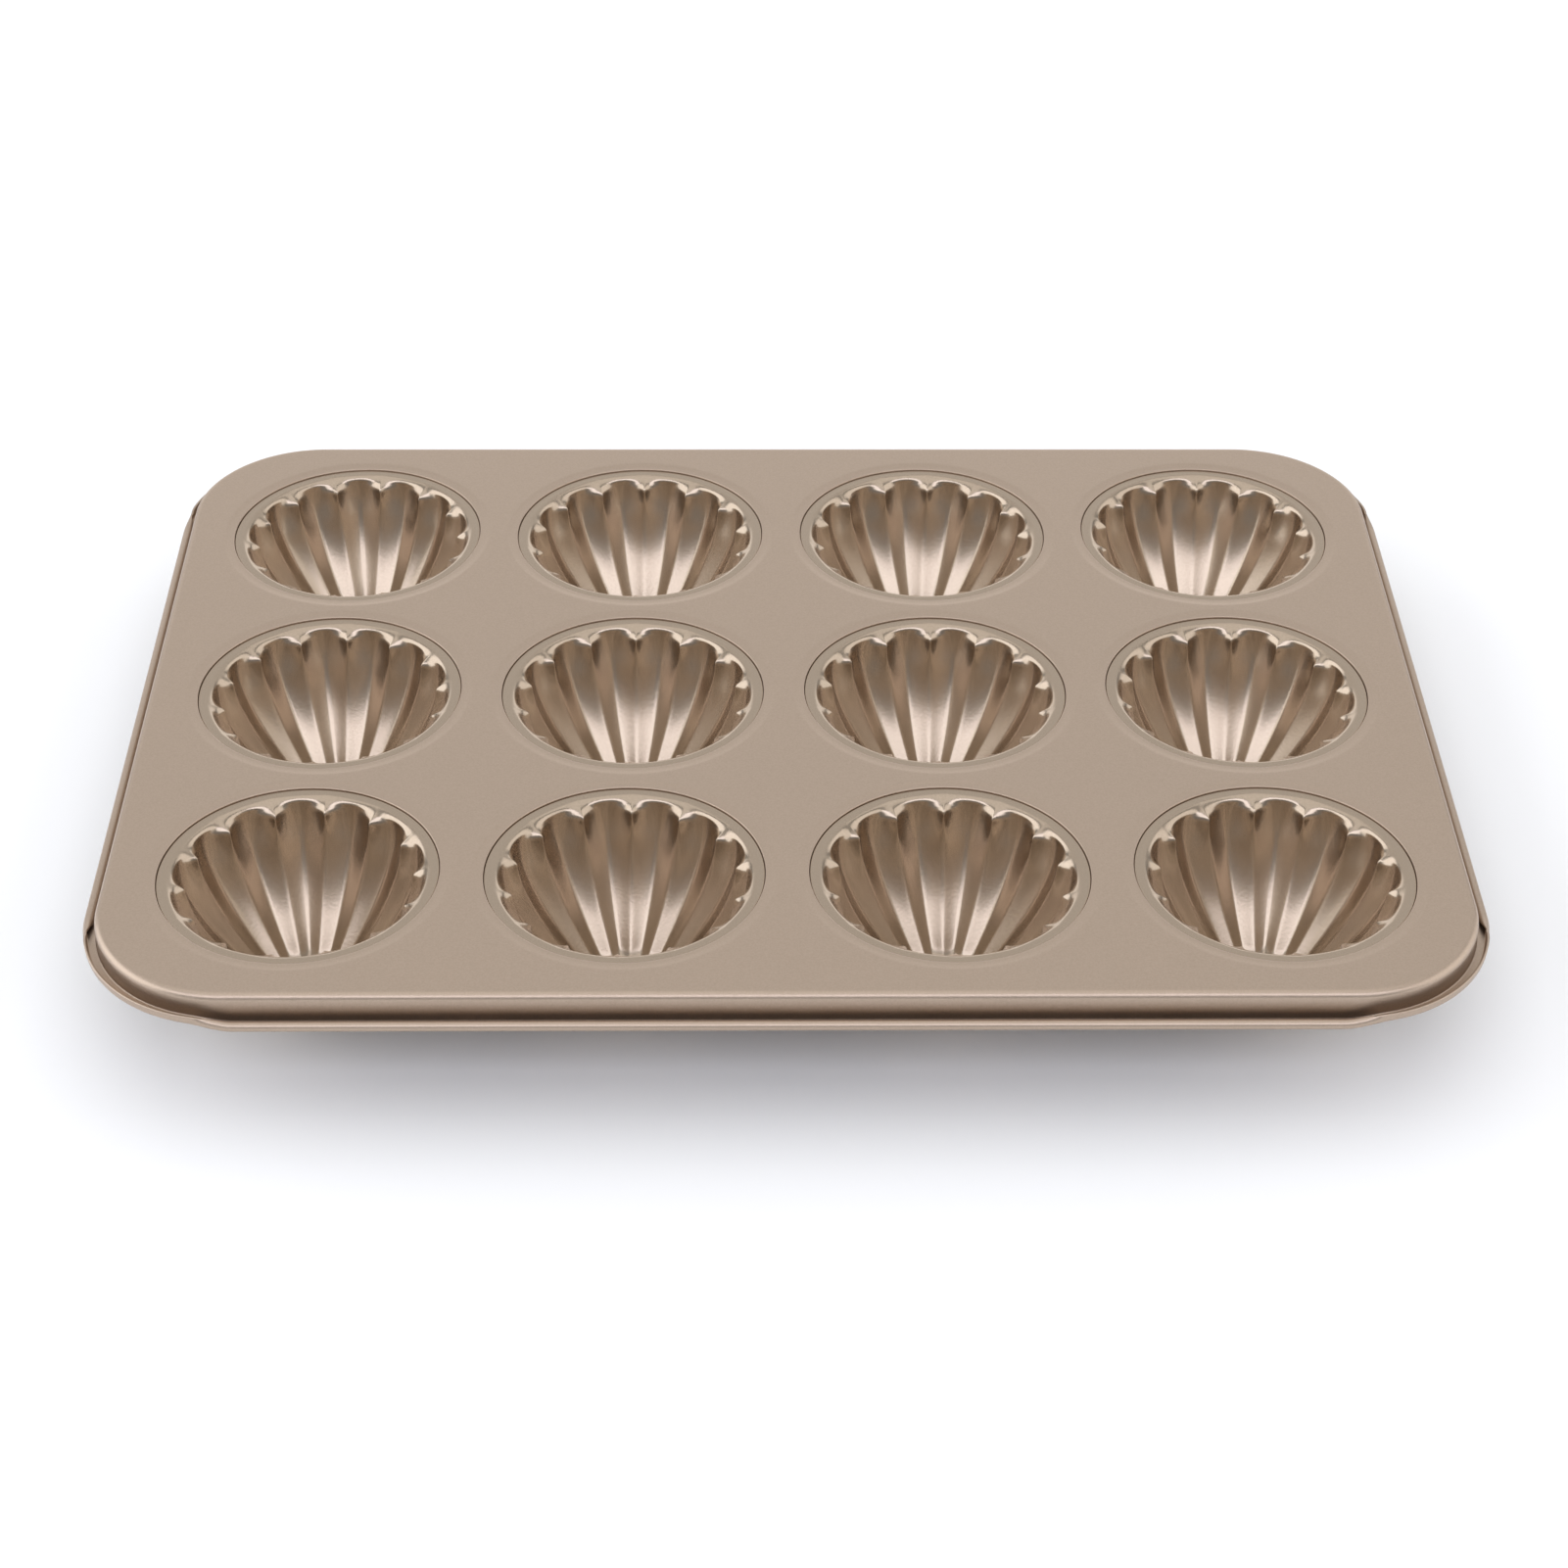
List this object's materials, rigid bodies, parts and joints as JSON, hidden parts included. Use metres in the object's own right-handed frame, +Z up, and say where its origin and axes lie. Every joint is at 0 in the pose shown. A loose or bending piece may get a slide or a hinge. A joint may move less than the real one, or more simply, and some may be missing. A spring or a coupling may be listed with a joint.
{
  "type": "fluted cake pan",
  "caption": "Flat sheet-steel baking pan with a rolled rim and round fluted cups seamed into its deck, in a satin champagne non-stick coating.",
  "frame": {"origin": "centre of the footprint, on the surface that the cup bases stand on", "axes": "+X to the right along the rows of cups, +Y from the front row to the back row, +Z up through the deck"},
  "size_m": [0.3514, 0.263, 0.038],
  "materials": {
    "tray_coating": "satin",
    "cup_coating": "satin"
  },
  "bodies": {
    "root": {"tray": "tray_coating", "cup_back_1": "cup_coating", "cup_back_2": "cup_coating", "cup_back_3": "cup_coating", "cup_back_4": "cup_coating", "cup_middle_1": "cup_coating", "cup_middle_2": "cup_coating", "cup_middle_3": "cup_coating", "cup_middle_4": "cup_coating", "cup_front_1": "cup_coating", "cup_front_2": "cup_coating", "cup_front_3": "cup_coating", "cup_front_4": "cup_coating"}
  },
  "joints": []
}
